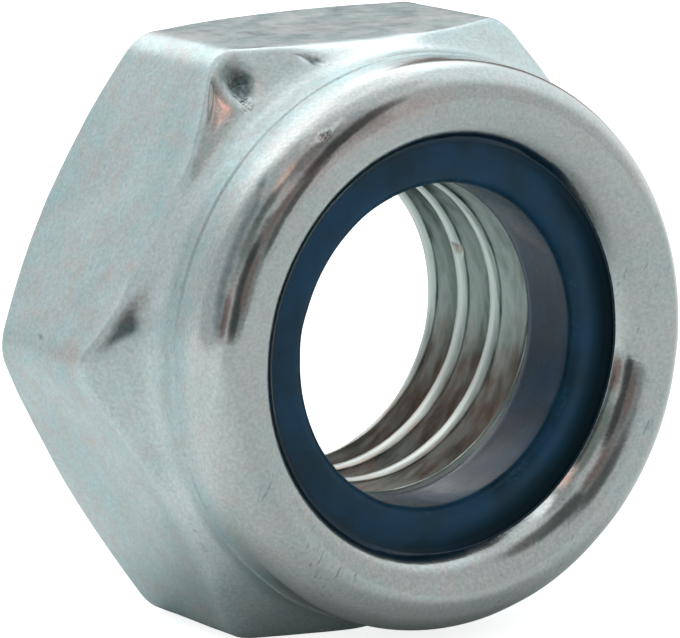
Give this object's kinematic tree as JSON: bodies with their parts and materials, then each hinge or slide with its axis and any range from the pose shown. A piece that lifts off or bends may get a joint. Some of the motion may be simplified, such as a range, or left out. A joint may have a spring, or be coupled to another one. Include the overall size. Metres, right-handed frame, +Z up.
{
  "type": "hex lock nut",
  "caption": "Hexagon nut with a rolled collar that traps a dark polyamide locking ring at the end of its tapped bore.",
  "frame": {"origin": "bottom centre of the bounding box: under the middle of the nut, on the surface its lowest flat rests on", "axes": "+X to the right, along the resting flat; +Y along the thread axis, from the collar toward the bearing face; +Z up"},
  "size_m": [0.0148, 0.0078, 0.013],
  "materials": {
    "zinc_steel": "satin zinc plate",
    "blue_polyamide": "semi-gloss moulded polyamide"
  },
  "bodies": {
    "root": {"nut_body": "zinc_steel", "insert_ring": "blue_polyamide"}
  },
  "joints": []
}
